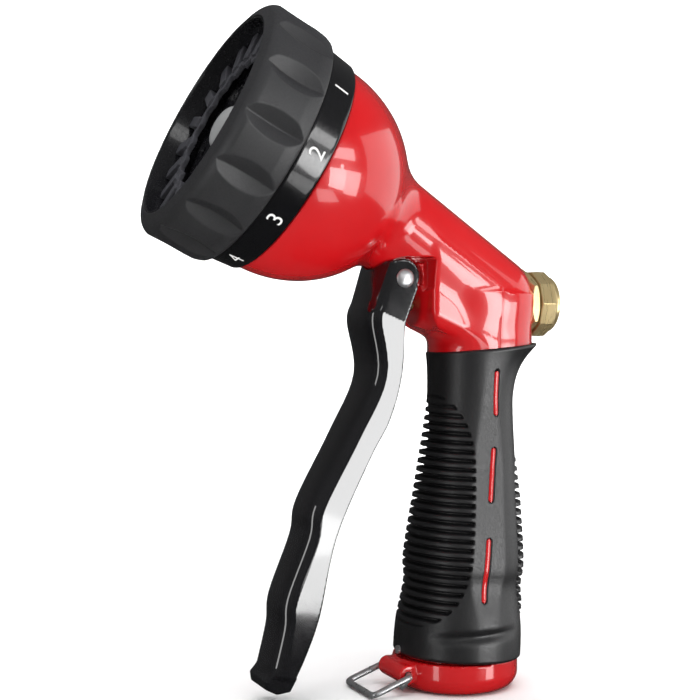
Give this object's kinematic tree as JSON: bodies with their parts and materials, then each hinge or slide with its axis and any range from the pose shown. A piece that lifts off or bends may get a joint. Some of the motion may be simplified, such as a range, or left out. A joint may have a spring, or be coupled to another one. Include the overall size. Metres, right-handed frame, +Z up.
{
  "type": "hose spray nozzle",
  "caption": "Hand-held hose spray nozzle with a tilted round head, turning pattern dial, front squeeze trigger, rubber grip, rear flow knob and a wire lock at the handle end.",
  "frame": {"origin": "centre of the hose inlet, on the flat end of the handle", "axes": "+Z up along the handle, -Y towards the spray side, X = 0 the mirror plane"},
  "size_m": [0.066, 0.1141, 0.1791],
  "materials": {
    "red_enamel": "gloss red enamel on a zinc casting",
    "black_enamel": "gloss black enamel on a pressed lever",
    "grip_rubber": "soft matt black moulded rubber",
    "bezel_rubber": "soft satin black moulded rubber",
    "seal_rubber": "plain black seal rubber",
    "collar_plastic": "gloss black with printed white numbers",
    "black_plastic": "moulded black",
    "pale_plastic": "moulded pale acetal",
    "grey_plastic": "satin grey moulding",
    "brass": "turned brass",
    "steel": "bright zinc plated"
  },
  "bodies": {
    "body": {"body_casting": "red_enamel", "grip_sleeve": "grip_rubber", "grip_pin": "steel", "hose_washer": "seal_rubber", "stem_bushing": "brass", "stem_o_ring": "seal_rubber", "valve_seat": "brass", "valve_spring": "steel", "gland_nut": "brass", "gland_o_ring": "seal_rubber", "port_plate": "pale_plastic", "plate_o_ring": "seal_rubber", "plate_screws": "steel", "port_seal": "seal_rubber", "seal_spring": "steel", "dial_screw": "steel", "dial_washer": "steel"},
    "trigger": {"trigger_lever": "black_enamel", "pivot_pin": "steel"},
    "stem": {"valve_stem": "brass", "valve_washer": "seal_rubber"},
    "knob": {"flow_knob": "brass"},
    "needle": {"flow_needle": "brass", "needle_o_ring": "seal_rubber"},
    "dial": {"dial_face": "black_plastic", "dial_collar": "collar_plastic", "dial_bezel": "bezel_rubber", "dial_cap": "grey_plastic"},
    "bail": {"lock_bail": "steel"}
  },
  "joints": [
    {"name": "trigger_squeeze", "type": "hinge", "parent": "body", "child": "trigger", "pos_m": [0, -0.0202, 0.1102], "axis": [1, 0, 0], "range_deg": [0, 10.8], "stiffness_Nm_per_rad": 1.2, "springref_deg": -28.65},
    {"name": "stem_slide", "type": "slide", "parent": "body", "child": "stem", "axis": [0, 1, 0], "range_m": [0, 0.00145], "deforming": ["valve_spring"]},
    {"name": "dial_turn", "type": "hinge", "parent": "body", "child": "dial", "pos_m": [0, -0.0494, 0.1389], "axis": [0, -0.891, 0.454], "continuous": true},
    {"name": "knob_turn", "type": "hinge", "parent": "body", "child": "knob", "pos_m": [0, 0, 0.104], "axis": [0, -1, 0], "range_deg": [0, 540]},
    {"name": "needle_slide", "type": "slide", "parent": "body", "child": "needle", "axis": [0, -1, 0], "range_m": [0, 0.00187]},
    {"name": "bail_swing", "type": "hinge", "parent": "body", "child": "bail", "pos_m": [0, -0.0174, 0.0051], "axis": [-1, 0, 0], "range_deg": [-65, 95]}
  ],
  "couplings": [
    {"joint": "stem_slide", "follows": "trigger_squeeze", "m_per_rad": 0.0073},
    {"joint": "knob_turn", "follows": "needle_slide", "rad_per_m": 5026.5}
  ]
}
